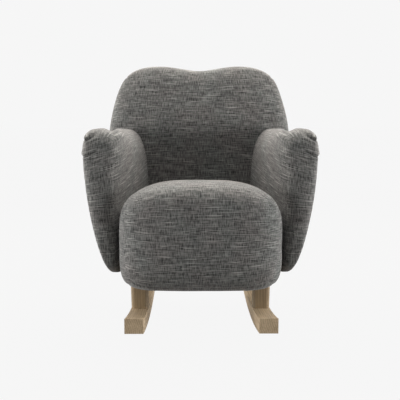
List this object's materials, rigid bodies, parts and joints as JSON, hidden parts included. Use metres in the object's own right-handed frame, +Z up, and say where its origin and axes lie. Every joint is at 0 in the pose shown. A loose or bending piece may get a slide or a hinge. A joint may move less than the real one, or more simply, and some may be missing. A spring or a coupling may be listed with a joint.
{
  "type": "upholstered rocking chair",
  "caption": "Upholstered rocking armchair with a wide lobed back, flared slab arms and a deep crowned seat on short legs and curved wooden runners.",
  "frame": {"origin": "on the floor, at the centre of the bounding box's footprint", "axes": "+X to the right of someone who faces the chair, +Y from the front of the seat to the back, +Z up"},
  "size_m": [0.7692, 0.81, 0.8958],
  "materials": {
    "oak": "oiled greyish tan oak with fine grain",
    "beech": "bare sawn hardwood",
    "plywood": "bare plywood",
    "fabric": "mid grey slubby linen-like weave with a soft sheen",
    "foam": "cream upholstery foam with wadding",
    "webbing": "woven elastic webbing",
    "lining": "thin black lining cloth",
    "steel": "zinc-plated"
  },
  "bodies": {
    "root": {"runner_left": "oak", "runner_right": "oak", "leg_front_left": "oak", "leg_front_right": "oak", "leg_rear_left": "oak", "leg_rear_right": "oak", "front_rail": "beech", "rear_rail": "beech", "seat_cross_rail": "beech", "side_rail_left": "beech", "side_rail_right": "beech", "corner_block_front_left": "beech", "corner_block_front_right": "beech", "corner_block_rear_left": "beech", "corner_block_rear_right": "beech", "back_post_left": "beech", "back_post_right": "beech", "back_mid_rail": "beech", "back_crest_rail": "beech", "arm_panel_left": "plywood", "arm_panel_right": "plywood", "seat_cover": "fabric", "back_cover": "fabric", "arm_cover_left": "fabric", "arm_cover_right": "fabric", "seat_foam": "foam", "back_foam_front": "foam", "back_foam_rear": "foam", "arm_foam_inner_left": "foam", "arm_foam_inner_right": "foam", "arm_foam_outer_left": "foam", "arm_foam_outer_right": "foam", "seat_strap_long_1": "webbing", "seat_strap_long_2": "webbing", "seat_strap_long_3": "webbing", "seat_strap_long_4": "webbing", "seat_strap_cross_1": "webbing", "seat_strap_cross_2": "webbing", "seat_strap_cross_3": "webbing", "back_strap_1": "webbing", "back_strap_2": "webbing", "back_strap_3": "webbing", "back_strap_4": "webbing", "dust_cover": "lining", "leg_bolt_front_left": "steel", "leg_bolt_front_right": "steel", "leg_bolt_rear_left": "steel", "leg_bolt_rear_right": "steel", "runner_screw_front_left": "steel", "runner_screw_front_right": "steel", "runner_screw_rear_left": "steel", "runner_screw_rear_right": "steel", "arm_bolt_front_left": "steel", "arm_bolt_front_right": "steel", "arm_bolt_rear_left": "steel", "arm_bolt_rear_right": "steel"}
  },
  "joints": []
}
